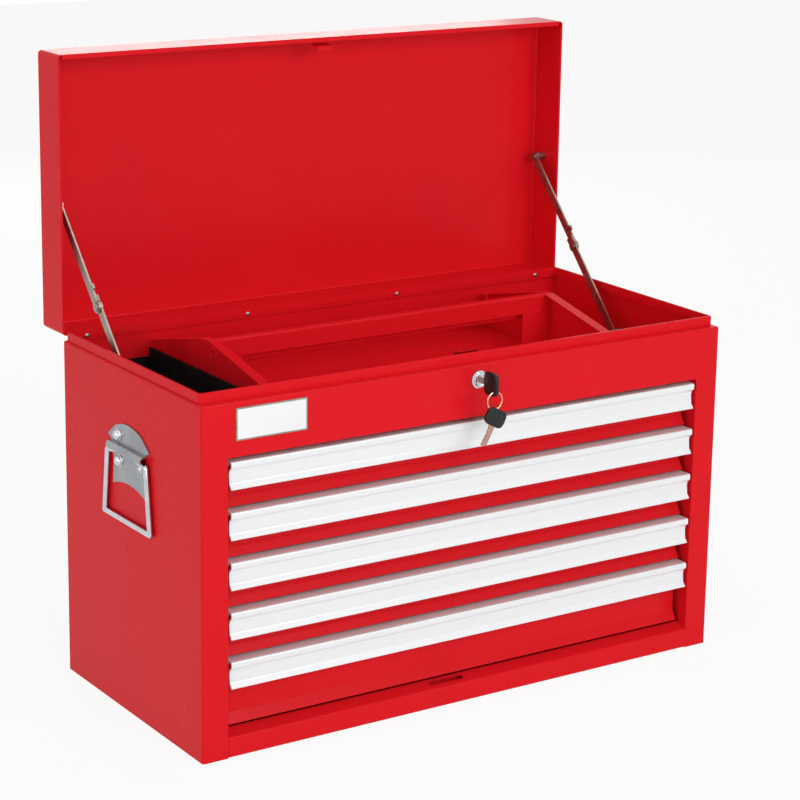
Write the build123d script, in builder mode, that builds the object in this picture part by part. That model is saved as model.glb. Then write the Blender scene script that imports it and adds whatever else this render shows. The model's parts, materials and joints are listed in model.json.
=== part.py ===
from build123d import *
import math
import os

os.makedirs("parts", exist_ok=True)

# A steel tool chest with five drawers and a lid that stands open.
# Millimetres. X runs to the right, Y to the back and Z up.
# The origin is the middle of the base.

# Cabinet
WIDTH = 660.0
DEPTH = 307.0
LEDGE_Z = 376.0
SHEET = 1.2
BEND = 3.0
CORNER_WRAP = 4.0
RIM_SKIRT = 4.0
RIM_TOP_RADIUS = 2.0
STILE_WIDTH = 30.0
HEAD_DROP = 57.0
JAMB_DEPTH = 14.0
EDGE_RADIUS = 1.0
BACK_FLANGE = 18.0
BACK_PANEL_PLAY = 0.2

# Bottom pan
RAIL_Z = 21.8
SILL_Z = 28.8
SILL_DEPTH = 17.7
SILL_DROP = 18.8
PAN_BACK_FLANGE = 18.0
SLOT_LENGTH = 44.0
SLOT_WIDTH = 6.0
SLOT_X = -27.0

# Ledge and collar that the lid closes over
COLLAR_SIDE_INSET = 3.0
COLLAR_FRONT_INSET = 10.0
COLLAR_BACK_INSET = 3.0
COLLAR_HEIGHT = 10.5
COLLAR_RADIUS = 3.0
HEM_THICKNESS = 1.3
HEM_HEIGHT = 8.0

# Well under the lid
WELL_DROP = 53.2
WELL_FLANGE = 5.0

# Hinge
HINGE_BARREL_R = 2.2
HINGE_LEAF = 0.9
HINGE_PIN_R = 1.3
HINGE_CLEARANCE = 0.05
HINGE_AXIS_ABOVE_LEDGE = 2.3
HINGE_INSET = 22.0
HINGE_KNUCKLES = 22
HINGE_GAP = 0.3
HINGE_KNUCKLE_FACES = 12
HINGE_LEAF_WIDTH = 14.0

# Lid
LID_DEPTH = 50.0
LID_FRONT_INSET = 3.8
LID_CORNER_RADIUS = 4.5
LID_EDGE_RADIUS = 3.0
LID_SEAT_GAP = 0.3
LID_BACK_GAP = 0.05
LID_FLANGE = 5.0
LID_HEM_WIDTH = 8.0

# Stays
STAY_FOOT_FROM_BACK = 137.1
STAY_FOOT_DROP = 42.4
STAY_HEAD_FROM_BACK = 30.5
STAY_HEAD_RISE = 141.5
STAY_LOWER_LENGTH = 121.0
STAY_WIDTH = 11.0
STAY_NECK = 10.0
STAY_THICKNESS = 2.0
STAY_GAP = 0.2
STAY_INSET = 17.0
STAY_EYE_R = 5.0
STAY_ELBOW_R = 7.0
STAY_TAIL = 12.0
STAY_LUG = 3.0
STAY_LUG_AT = 21.0
STUD_R = 3.0
STUD_CLEARANCE = 0.05
STUD_HEAD_R = 4.6
STUD_HEAD = 1.5
STUD_COLLAR_R = 5.0

# Drawers
DRAWERS = 5
TRIM_TOP_GAP = 4.5
DRAWER_PITCH = 52.8
DRAWER_GAP = 2.0
FRONT_RECESS = 20.0
FRONT_SIDE_GAP = 3.5
FRONT_LIP = 6.5
FRONT_LIP_HEIGHT = 11.0
FRONT_TOP_RETURN = 9.5
FRONT_TOP_DROP = 1.5
LAST_LIP_ABOVE_SILL = 1.5
PAN_SHEET = 1.0
PAN_SIDE_GAP = 14.0
PAN_REAR_GAP = 13.0
PAN_FLOOR_RISE = 5.8
PAN_TOP_DROP = 4.0
PAN_BEND = 2.5
PAN_HEM = 2.2
PAN_HEM_HEIGHT = 6.0

# Trim strip along the top of each drawer
TRIM_SHEET = 1.4
TRIM_RADIUS = 2.2
TRIM_HEIGHT = 28.5
TRIM_LEG = 9.0
TRIM_REACH = 20.5
TRIM_FACE_REACH = 16.5
TRIM_LIP_HEIGHT = 6.2
TRIM_GROOVE_Z = 9.6
TRIM_FACE_FOOT = 23.5
TRIM_DISH = 0.8

# Slides
SLIDE_DROP = 22.0
RAIL_HEIGHT = 14.0
RAIL_REACH = 10.0
RUNNER_HEIGHT = 10.4
RUNNER_TIP_GAP = 0.8
RAIL_FRONT = 23.5
RAIL_BACK_GAP = 4.0

# Side handles
HANDLE_AXIS_DROP = 85.5
HANDLE_PLATE = 1.6
HANDLE_ROD_R = 3.2
HANDLE_ROD_FACES = 12
HANDLE_ROD_CLEARANCE = 0.1
HANDLE_ROD_OFF = 0.3
HANDLE_WALL = 1.6
HANDLE_TOP_HALF = 29.0
HANDLE_EAR_HALF = 38.5
HANDLE_TIP_HALF = 46.0
HANDLE_TIP_RISE = 10.0
HANDLE_WAIST_HALF = 33.0
HANDLE_FOOT_HALF = 36.0
HANDLE_TOP_RISE = 22.5
HANDLE_TOP_ARC = 6.0
HANDLE_EAR_RISE = 6.5
HANDLE_FOOT_DROP = 42.0
HANDLE_FOOT_ARC = 7.0
BAIL_TOP_HALF = 47.5
BAIL_FOOT_HALF = 57.0
BAIL_DROP = 81.0
BAIL_BEND = 6.5
BAIL_END_GAP = 2.0

# Lock
LOCK_X = 1.0
LOCK_DROP = 16.2
LOCK_FLANGE_R = 9.7
LOCK_FLANGE = 4.0
LOCK_DOME = 1.8
LOCK_BARREL_R = 8.0
LOCK_LENGTH = 19.0
LOCK_PLUG_R = 5.0
LOCK_CLEARANCE = 0.05
LOCK_NUT_R = 11.5
LOCK_NUT = 3.0
PLUG_PROUD = 0.6
CAM_THICKNESS = 1.5
CAM_R = 7.5
KEY_BLADE = 2.0
KEY_BLADE_HEIGHT = 7.4
KEY_DEPTH = 20.0
KEY_ROOT = 1.0
KEY_SLOT_CLEARANCE = 0.1
KEY_SHANK = 9.0
KEY_HEAD = 4.0
KEY_HEAD_LENGTH = 22.0
KEY_HEAD_HEIGHT = 25.0
KEY_HEAD_RADIUS = 6.0
KEY_HEAD_EDGE = 0.8
KEY_HOLE_R = 2.2
KEY_HOLE_IN = 4.2
KEY_HOLE_DROP = 5.8
RING_R = 9.3
RING_WIRE_R = 0.7
RING_GAP = 0.3
RING_FACES = 8

# Latch hook behind the lock
HOOK_WIDTH = 28.0
HOOK_SHEET = 1.6
HOOK_SET_BACK = 28.3
HOOK_FOOT_DROP = 30.0
HOOK_TOP_RISE = 9.2
HOOK_LIP = 6.3
HOOK_AXIS_IN = 3.8
HOOK_AXIS_DROP = 25.0
HOOK_TUBE_R = 3.4
HOOK_PIN_R = 2.0
HOOK_CLEARANCE = 0.06
BRACKET_SHEET = 1.5
BRACKET_GAP = 0.6
STRIKE_WIDTH = 20.0
STRIKE_SHEET = 1.5
STRIKE_TOP_RISE = 28.0
STRIKE_BRIDGE_RISE = 16.0
STRIKE_TONGUE_RISE = 4.1
STRIKE_LEG_SET_BACK = 13.5
STRIKE_TONGUE = 6.5

# Tote tray with gabled ends, its handle plate and the bin beside it
TRAY_INSET = 104.0
TRAY_FRONT_SPACE = 48.5
TRAY_BACK_SPACE = 8.5
TRAY_HEIGHT = 14.0
TRAY_SHEET = 1.0
GABLE_DROP = 10.0
GABLE_FLANGE = 12.0
HANDLE_GAP = 2.0
GRIP_DEPTH = 11.6
GRIP_RISE = 15.5
GRIP_LEG = 27.5
WINDOW_END = 42.0
WINDOW_DROP = 5.0
WINDOW_HEIGHT = 36.0
BIN_WALL_SPACE = 27.0
BIN_TRAY_SPACE = 3.0
BIN_FRONT_SPACE = 15.5
BIN_BACK_SPACE = 5.5
BIN_HEIGHT = 23.0
BIN_RIGHT_RISE = 11.0
BIN_WALL = 1.6
BIN_RADIUS = 3.0

# Places worked out from the sizes above
HALF_W = WIDTH / 2
FRONT_Y = -DEPTH / 2
BACK_Y = DEPTH / 2
PANEL_IN = HALF_W - SHEET
FRONT_IN = FRONT_Y + SHEET
BACK_PANEL_Y = BACK_Y - 2 * SHEET
RIM_BASE = LEDGE_Z - RIM_SKIRT
JAMB_BACK = FRONT_Y + JAMB_DEPTH
RIM_TOP = LEDGE_Z + COLLAR_HEIGHT
PAN_FRONT = FRONT_Y + FRONT_RECESS
PAN_BACK = BACK_PANEL_Y - PAN_REAR_GAP
HINGE_Y = BACK_Y + HINGE_BARREL_R
HINGE_Z = LEDGE_Z + HINGE_AXIS_ABOVE_LEDGE
LID_OPEN_Y = HINGE_Y + LEDGE_Z + LID_SEAT_GAP - HINGE_Z
LID_LOW = HINGE_Z + HINGE_BARREL_R + LID_BACK_GAP
LID_HIGH = HINGE_Z + HINGE_Y - FRONT_Y - LID_FRONT_INSET
OPENING_HALF = HALF_W - STILE_WIDTH
LINER_IN = OPENING_HALF + SHEET
FRONT_HALF = OPENING_HALF - FRONT_SIDE_GAP
PAN_HALF = OPENING_HALF - PAN_SIDE_GAP
HINGE_HALF_LENGTH = HALF_W - HINGE_INSET
STAY_INNER_X = HALF_W - STAY_INSET
TRAY_HALF = HALF_W - TRAY_INSET
TRAY_FRONT = FRONT_Y + TRAY_FRONT_SPACE
TRAY_BACK = BACK_Y - TRAY_BACK_SPACE
HANDLE_SHEET_Y = (TRAY_FRONT + TRAY_BACK - SHEET) / 2
BIN_LEFT = BIN_WALL_SPACE - HALF_W
BIN_RIGHT = -TRAY_HALF - BIN_TRAY_SPACE
BIN_FRONT = FRONT_Y + BIN_FRONT_SPACE
BIN_BACK = BACK_Y - BIN_BACK_SPACE

# Heights, counted down and up from the ledge
WELL_FLOOR_Z = LEDGE_Z - WELL_DROP
OPENING_TOP = LEDGE_Z - HEAD_DROP
TRIM_TOP_Z = OPENING_TOP - TRIM_TOP_GAP
LAST_LIP_Z = SILL_Z + LAST_LIP_ABOVE_SILL
HANDLE_AXIS_Z = LEDGE_Z - HANDLE_AXIS_DROP
LOCK_Z = LEDGE_Z - LOCK_DROP
STAY_FOOT_Y = BACK_Y - STAY_FOOT_FROM_BACK
STAY_FOOT_Z = LEDGE_Z - STAY_FOOT_DROP
STAY_HEAD_Y = BACK_Y + STAY_HEAD_FROM_BACK
STAY_HEAD_Z = LEDGE_Z + STAY_HEAD_RISE
HOOK_BACK_Y = FRONT_Y + HOOK_SET_BACK
HOOK_FOOT_Z = LEDGE_Z - HOOK_FOOT_DROP
HOOK_TOP_Z = LEDGE_Z + HOOK_TOP_RISE
HOOK_AXIS_Y = HOOK_BACK_Y - HOOK_AXIS_IN
HOOK_AXIS_Z = LEDGE_Z - HOOK_AXIS_DROP
FLOOR_TOP = WELL_FLOOR_Z + SHEET
GRIP_TOP = LEDGE_Z + GRIP_RISE
GABLE_EAVES = LEDGE_Z - GABLE_DROP
WINDOW_HALF = TRAY_HALF - WINDOW_END
WINDOW_TOP = LEDGE_Z - WINDOW_DROP
WINDOW_BOTTOM = WINDOW_TOP - WINDOW_HEIGHT
BIN_TOP = FLOOR_TOP + BIN_HEIGHT
BIN_RIGHT_TOP = BIN_TOP + BIN_RIGHT_RISE
THROUGH = 3 * SHEET
SIDES = (("left", -1), ("right", 1))


def bent_sheet(points, radius, thickness, side):
    """Section of a bent sheet whose outer line runs through the points."""
    with BuildSketch() as section:
        with BuildLine():
            FilletPolyline(*points, radius=radius)
            offset(amount=thickness, side=side)
        make_face()
    return section.sketch


def folded_sheet(points, thickness, side):
    """Section of a sheet with sharp folds at the points."""
    with BuildSketch() as section:
        with BuildLine():
            Polyline(*points)
            offset(amount=thickness, side=side, kind=Kind.INTERSECTION)
        make_face()
    return section.sketch


def across(y):
    """Upright plane across the chest at a depth; extrusions run to the front."""
    return Plane.XZ.offset(-y)


def along(x):
    """Upright plane from front to back; extrusions run to the right."""
    return Plane.YZ.offset(x)


def opened(y, z):
    """Where a point of the closed lid lies when the lid stands open."""
    return (HINGE_Y + z - HINGE_Z, HINGE_Z + HINGE_Y - y)


def save(piece, name):
    """Label a finished piece and write it."""
    piece.part.label = name
    export_step(piece.part, f"parts/{name}.step")


# Front frame: one sheet round the drawer opening, with jambs that turn back
with BuildPart() as front_frame:
    wrap_y = FRONT_Y + CORNER_WRAP
    outline = [(-HALF_W, wrap_y), (-HALF_W, FRONT_Y), (HALF_W, FRONT_Y), (HALF_W, wrap_y)]
    with BuildSketch(Plane.XY):
        add(bent_sheet(outline, BEND, SHEET, Side.LEFT))
    extrude(amount=RIM_BASE)
    with BuildSketch(across(FRONT_IN + SHEET)):
        with Locations((0, OPENING_TOP / 2)):
            Rectangle(2 * OPENING_HALF, OPENING_TOP)
    extrude(amount=THROUGH, mode=Mode.SUBTRACT)
    jamb = [
        (-OPENING_HALF, 0),
        (-OPENING_HALF, OPENING_TOP),
        (OPENING_HALF, OPENING_TOP),
        (OPENING_HALF, 0),
    ]
    with BuildSketch(across(JAMB_BACK)):
        add(bent_sheet(jamb, 2 * SHEET, SHEET, Side.LEFT))
    extrude(amount=JAMB_DEPTH)
    opening_edges = front_frame.edges().filter_by(
        lambda e: abs(e.center().Y - FRONT_Y) < 0.01
        and abs(e.center().X) < OPENING_HALF + SHEET / 2
        and e.center().Z < OPENING_TOP + SHEET
    )
    fillet(opening_edges, radius=EDGE_RADIUS)
    with BuildSketch(across(FRONT_IN + SHEET)):
        with Locations((LOCK_X, LOCK_Z)):
            Circle(LOCK_BARREL_R + LOCK_CLEARANCE)
    extrude(amount=THROUGH, mode=Mode.SUBTRACT)
save(front_frame, "front_frame")

# Side panels, each with a flange round the back corner
for side, sign in SIDES:
    with BuildPart() as side_panel:
        outline = [(HALF_W, wrap_y), (HALF_W, BACK_Y), (HALF_W - BACK_FLANGE, BACK_Y)]
        with BuildSketch(Plane.XY):
            add(bent_sheet(outline, BEND, SHEET, Side.LEFT))
        extrude(amount=RIM_BASE)
        if sign < 0:
            mirror(about=Plane.YZ, mode=Mode.REPLACE)
    save(side_panel, f"{side}_side_panel")

# Back panel, lapped inside the side flanges
with BuildPart() as back_panel:
    with BuildSketch(across(BACK_PANEL_Y + SHEET)):
        with Locations((0, (SHEET + RIM_BASE) / 2)):
            Rectangle(2 * (HALF_W - BEND - BACK_PANEL_PLAY), RIM_BASE - SHEET)
    extrude(amount=SHEET)
save(back_panel, "back_panel")

# Bottom pan with the front rail, its sloping sill and the slot in the sill
with BuildPart() as bottom_pan:
    sill_back = FRONT_Y + SILL_DEPTH
    pan_line = [
        (sill_back, SILL_Z - SILL_DROP),
        (sill_back, SILL_Z),
        (FRONT_Y, RAIL_Z),
        (FRONT_Y, 0),
        (BACK_PANEL_Y, 0),
        (BACK_PANEL_Y, PAN_BACK_FLANGE),
    ]
    with BuildSketch(along(-OPENING_HALF)):
        add(bent_sheet(pan_line, 2 * SHEET, SHEET, Side.LEFT))
    extrude(amount=2 * OPENING_HALF)
    wing_depth = BACK_PANEL_Y - SHEET - JAMB_BACK
    with BuildSketch(Plane.XY):
        with Locations((0, JAMB_BACK + wing_depth / 2)):
            Rectangle(2 * PANEL_IN, wing_depth)
    extrude(amount=SHEET)
    sill_rise = SILL_Z - RAIL_Z
    sill = Plane(
        origin=(SLOT_X, FRONT_Y + SILL_DEPTH / 2, RAIL_Z + sill_rise / 2),
        x_dir=(1, 0, 0),
        z_dir=(0, -sill_rise, SILL_DEPTH),
    )
    with BuildSketch(sill):
        SlotOverall(SLOT_LENGTH, SLOT_WIDTH)
    extrude(amount=2 * SHEET, both=True, mode=Mode.SUBTRACT)
save(bottom_pan, "bottom_pan")

# Top rim: the ledge that the lid rests on and the collar inside it
with BuildPart() as top_rim:
    with BuildSketch(Plane.XY.offset(RIM_BASE)):
        RectangleRounded(WIDTH, DEPTH, BEND)
    extrude(amount=RIM_SKIRT)
    fillet(top_rim.faces().sort_by(Axis.Z)[-1].edges(), radius=RIM_TOP_RADIUS)
    with BuildSketch(Plane.XY.offset(RIM_BASE)):
        RectangleRounded(WIDTH - 2 * SHEET, DEPTH - 2 * SHEET, BEND - SHEET)
    extrude(amount=RIM_SKIRT - SHEET, mode=Mode.SUBTRACT)
    collar_width = WIDTH - 2 * COLLAR_SIDE_INSET
    collar_depth = DEPTH - COLLAR_FRONT_INSET - COLLAR_BACK_INSET
    collar_y = (COLLAR_FRONT_INSET - COLLAR_BACK_INSET) / 2
    with BuildSketch(Plane.XY.offset(LEDGE_Z - SHEET)):
        with Locations((0, collar_y)):
            RectangleRounded(collar_width, collar_depth, COLLAR_RADIUS)
    extrude(amount=COLLAR_HEIGHT + SHEET)
    with BuildSketch(Plane.XY.offset(LEDGE_Z - SHEET)):
        with Locations((0, collar_y)):
            inner_width = collar_width - 2 * SHEET
            inner_depth = collar_depth - 2 * SHEET
            RectangleRounded(inner_width, inner_depth, COLLAR_RADIUS - SHEET)
    extrude(amount=COLLAR_HEIGHT + SHEET, mode=Mode.SUBTRACT)
    with BuildSketch(Plane.XY.offset(RIM_TOP - HEM_HEIGHT)):
        with Locations((0, collar_y)):
            RectangleRounded(inner_width, inner_depth, COLLAR_RADIUS - SHEET)
            Rectangle(
                inner_width - 2 * HEM_THICKNESS,
                inner_depth - 2 * HEM_THICKNESS,
                mode=Mode.SUBTRACT,
            )
    extrude(amount=HEM_HEIGHT)
    crest = top_rim.faces().sort_by(Axis.Z)[-1].outer_wire().edges()
    chamfer(crest, length=HEM_THICKNESS / 2)
    with BuildSketch(across(BACK_Y)):
        with Locations((0, RIM_BASE - HINGE_LEAF_WIDTH / 2)):
            Rectangle(2 * HINGE_HALF_LENGTH, HINGE_LEAF_WIDTH)
    extrude(amount=SHEET)
save(top_rim, "top_rim")

# Floor of the well under the lid, with a flange turned down at each side
with BuildPart() as well_floor:
    floor_line = [
        (-PANEL_IN, FLOOR_TOP - WELL_FLANGE),
        (-PANEL_IN, FLOOR_TOP),
        (PANEL_IN, FLOOR_TOP),
        (PANEL_IN, FLOOR_TOP - WELL_FLANGE),
    ]
    well_back = BACK_Y - BEND
    with BuildSketch(across(well_back)):
        add(bent_sheet(floor_line, BEND, SHEET, Side.RIGHT))
    extrude(amount=well_back - FRONT_Y - BEND)
save(well_floor, "well_floor")


def drawer_top(row):
    """Height of the top of a drawer's trim; row 0 is the top drawer."""
    return TRIM_TOP_Z - row * DRAWER_PITCH


# Slide rails: a liner sheet on each side with one channel for each drawer
for side, sign in SIDES:
    with BuildPart() as slide_rails:
        with BuildSketch(along(LINER_IN)):
            liner_depth = BACK_PANEL_Y - FRONT_IN - SHEET
            liner_height = WELL_FLOOR_Z - SHEET
            with Locations((BACK_PANEL_Y - liner_depth / 2, SHEET + liner_height / 2)):
                Rectangle(liner_depth, liner_height)
        extrude(amount=SHEET)
        with BuildSketch(across(BACK_PANEL_Y - RAIL_BACK_GAP)):
            for row in range(DRAWERS):
                middle = drawer_top(row) - SLIDE_DROP
                tip = LINER_IN - RAIL_REACH
                channel = [
                    (tip, middle + RAIL_HEIGHT / 2),
                    (LINER_IN, middle + RAIL_HEIGHT / 2),
                    (LINER_IN, middle - RAIL_HEIGHT / 2),
                    (tip, middle - RAIL_HEIGHT / 2),
                ]
                add(folded_sheet(channel, SHEET, Side.RIGHT))
        extrude(amount=BACK_PANEL_Y - RAIL_BACK_GAP - FRONT_Y - RAIL_FRONT)
        if sign < 0:
            mirror(about=Plane.YZ, mode=Mode.REPLACE)
    save(slide_rails, f"{side}_slide_rails")

# Piano hinge: knuckles of the two leaves take turns along one pin
knuckle_pitch = 2 * HINGE_HALF_LENGTH / HINGE_KNUCKLES
knuckle_length = knuckle_pitch - HINGE_GAP


def knuckle_bore():
    """Many-sided bore of a rolled knuckle, whose flats stand clear of the pin."""
    return RegularPolygon(
        HINGE_PIN_R + HINGE_CLEARANCE, HINGE_KNUCKLE_FACES, major_radius=False
    )


def add_knuckles(first):
    """Add every second knuckle of the hinge to the part in hand."""
    for index in range(first, HINGE_KNUCKLES, 2):
        start = -HINGE_HALF_LENGTH + index * knuckle_pitch + HINGE_GAP / 2
        with BuildSketch(along(start)) as ring:
            with Locations((HINGE_Y, HINGE_Z)):
                RegularPolygon(HINGE_BARREL_R, HINGE_KNUCKLE_FACES)
        extrude(ring.sketch, amount=knuckle_length)


def leaf_outline(first):
    """Flat leaf with a tab for each of its knuckles, drawn from the axis."""
    with BuildSketch() as leaf:
        plate_top = -HINGE_BARREL_R - HINGE_GAP
        plate_height = HINGE_LEAF_WIDTH - HINGE_BARREL_R
        with Locations((0, plate_top - plate_height / 2)):
            Rectangle(2 * HINGE_HALF_LENGTH, plate_height)
        for index in range(first, HINGE_KNUCKLES, 2):
            middle = -HINGE_HALF_LENGTH + (index + 0.5) * knuckle_pitch
            with Locations((middle, plate_top / 2)):
                Rectangle(knuckle_length, -plate_top)
    return leaf.sketch


with BuildPart() as hinge_body_leaf:
    body_leaf_plane = Plane(
        origin=(0, BACK_Y, HINGE_Z), x_dir=(1, 0, 0), z_dir=(0, -1, 0)
    )
    extrude(body_leaf_plane * leaf_outline(0), amount=-HINGE_LEAF)
    add_knuckles(0)
    with BuildSketch(along(-HINGE_HALF_LENGTH)):
        with Locations((HINGE_Y, HINGE_Z)):
            knuckle_bore()
    extrude(amount=2 * HINGE_HALF_LENGTH, mode=Mode.SUBTRACT)
save(hinge_body_leaf, "hinge_body_leaf")

with BuildPart() as hinge_lid_leaf:
    lid_leaf_plane = Plane(
        origin=(0, HINGE_Y, HINGE_Z + HINGE_BARREL_R), x_dir=(1, 0, 0), z_dir=(0, 0, -1)
    )
    extrude(lid_leaf_plane * leaf_outline(1), amount=HINGE_LEAF)
    add_knuckles(1)
    with BuildSketch(along(-HINGE_HALF_LENGTH)):
        with Locations((HINGE_Y, HINGE_Z)):
            knuckle_bore()
    extrude(amount=2 * HINGE_HALF_LENGTH, mode=Mode.SUBTRACT)
save(hinge_lid_leaf, "hinge_lid_leaf")

with BuildPart() as hinge_pin:
    with BuildSketch(along(-HINGE_HALF_LENGTH)):
        with Locations((HINGE_Y, HINGE_Z)):
            Circle(HINGE_PIN_R)
    extrude(amount=2 * HINGE_HALF_LENGTH)
save(hinge_pin, "hinge_pin")

# Lid, drawn as it stands open: a shallow box with its open side to the front
with BuildPart() as lid_shell:
    lid_height = LID_HIGH - LID_LOW
    lid_middle = (LID_HIGH + LID_LOW) / 2
    with BuildSketch(across(LID_OPEN_Y)):
        with Locations((0, lid_middle)):
            RectangleRounded(WIDTH, lid_height, LID_CORNER_RADIUS)
    extrude(amount=-LID_DEPTH)
    fillet(lid_shell.faces().sort_by(Axis.Y)[-1].edges(), radius=LID_EDGE_RADIUS)
    offset(amount=-SHEET, openings=lid_shell.faces().sort_by(Axis.Y)[0])
    hem_length = lid_height - 2 * (LID_CORNER_RADIUS + SHEET)
    for sign in (-1, 1):
        with BuildSketch(across(LID_OPEN_Y + LID_HEM_WIDTH)):
            with Locations((sign * (PANEL_IN - SHEET / 2), lid_middle)):
                Rectangle(SHEET, hem_length)
        extrude(amount=LID_HEM_WIDTH)
    with BuildSketch(across(LID_OPEN_Y + SHEET)):
        flange_height = LID_FLANGE - SHEET
        with Locations((0, LID_HIGH - SHEET - flange_height / 2)):
            Rectangle(2 * (HALF_W - LID_CORNER_RADIUS - SHEET), flange_height)
    extrude(amount=SHEET)
save(lid_shell, "lid_shell")

# Stays: two flat links on each side, straight when the lid is open
stay_rise = STAY_HEAD_Z - STAY_FOOT_Z
stay_run = STAY_HEAD_Y - STAY_FOOT_Y
stay_span = math.hypot(stay_run, stay_rise)
stay_angle = math.degrees(math.atan2(stay_rise, stay_run))
elbow_y = STAY_FOOT_Y + stay_run * STAY_LOWER_LENGTH / stay_span
elbow_z = STAY_FOOT_Z + stay_rise * STAY_LOWER_LENGTH / stay_span
upper_length = stay_span - STAY_LOWER_LENGTH
outer_link_x = STAY_INNER_X + STAY_THICKNESS + STAY_GAP
stud_bore = STUD_R + STUD_CLEARANCE


def link_plane(x, y, z):
    """Plane of a link, with its own X axis along the link."""
    angle = math.radians(stay_angle)
    return Plane(
        origin=(x, y, z), x_dir=(0, math.cos(angle), math.sin(angle)), z_dir=(1, 0, 0)
    )


for side, sign in SIDES:
    with BuildPart() as lower_link:
        with BuildSketch(link_plane(STAY_INNER_X, STAY_FOOT_Y, STAY_FOOT_Z)):
            Circle(STAY_EYE_R)
            with Locations((STAY_LOWER_LENGTH / 2, 0)):
                Rectangle(STAY_LOWER_LENGTH, STAY_NECK)
            with Locations((STAY_LOWER_LENGTH, 0)):
                Circle(STAY_ELBOW_R)
            with Locations((STAY_LOWER_LENGTH + STAY_TAIL / 2, 0)):
                Rectangle(STAY_TAIL, STAY_WIDTH)
            Circle(stud_bore, mode=Mode.SUBTRACT)
        extrude(amount=STAY_THICKNESS)
        with BuildSketch(link_plane(STAY_INNER_X - STUD_HEAD, elbow_y, elbow_z)):
            Circle(STUD_HEAD_R)
        extrude(amount=STUD_HEAD)
        if sign < 0:
            mirror(about=Plane.YZ, mode=Mode.REPLACE)
    save(lower_link, f"{side}_stay_lower_link")

    with BuildPart() as upper_link:
        with BuildSketch(link_plane(outer_link_x, elbow_y, elbow_z)):
            Circle(STAY_ELBOW_R)
            with Locations((upper_length / 2, 0)):
                Rectangle(upper_length, STAY_NECK)
            with Locations((STAY_LUG_AT, STAY_WIDTH / 2)):
                Rectangle(2 * STAY_LUG, 2 * STAY_LUG)
            with Locations((upper_length, 0)):
                Circle(STAY_EYE_R)
                Circle(stud_bore, mode=Mode.SUBTRACT)
        extrude(amount=STAY_THICKNESS)
        with BuildSketch(link_plane(outer_link_x + STAY_THICKNESS, elbow_y, elbow_z)):
            Circle(STUD_HEAD_R)
        extrude(amount=STUD_HEAD)
        if sign < 0:
            mirror(about=Plane.YZ, mode=Mode.REPLACE)
    save(upper_link, f"{side}_stay_upper_link")

    studs = (
        ("foot", STAY_INNER_X, STAY_FOOT_Y, STAY_FOOT_Z),
        ("lid", outer_link_x, STAY_HEAD_Y, STAY_HEAD_Z),
    )
    for place, link_x, stud_y, stud_z in studs:
        with BuildPart() as stud:
            head_x = link_x - STAY_GAP / 2 - STUD_HEAD
            collar_x = link_x + STAY_THICKNESS + STAY_GAP / 2
            with BuildSketch(along(head_x)):
                with Locations((stud_y, stud_z)):
                    Circle(STUD_HEAD_R)
            extrude(amount=STUD_HEAD)
            with BuildSketch(along(head_x)):
                with Locations((stud_y, stud_z)):
                    Circle(STUD_R)
            extrude(amount=collar_x - head_x)
            with BuildSketch(along(collar_x)):
                with Locations((stud_y, stud_z)):
                    RegularPolygon(STUD_COLLAR_R, 6)
            extrude(amount=PANEL_IN - collar_x)
            if sign < 0:
                mirror(about=Plane.YZ, mode=Mode.REPLACE)
        save(stud, f"{side}_stay_{place}_stud")

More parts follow.
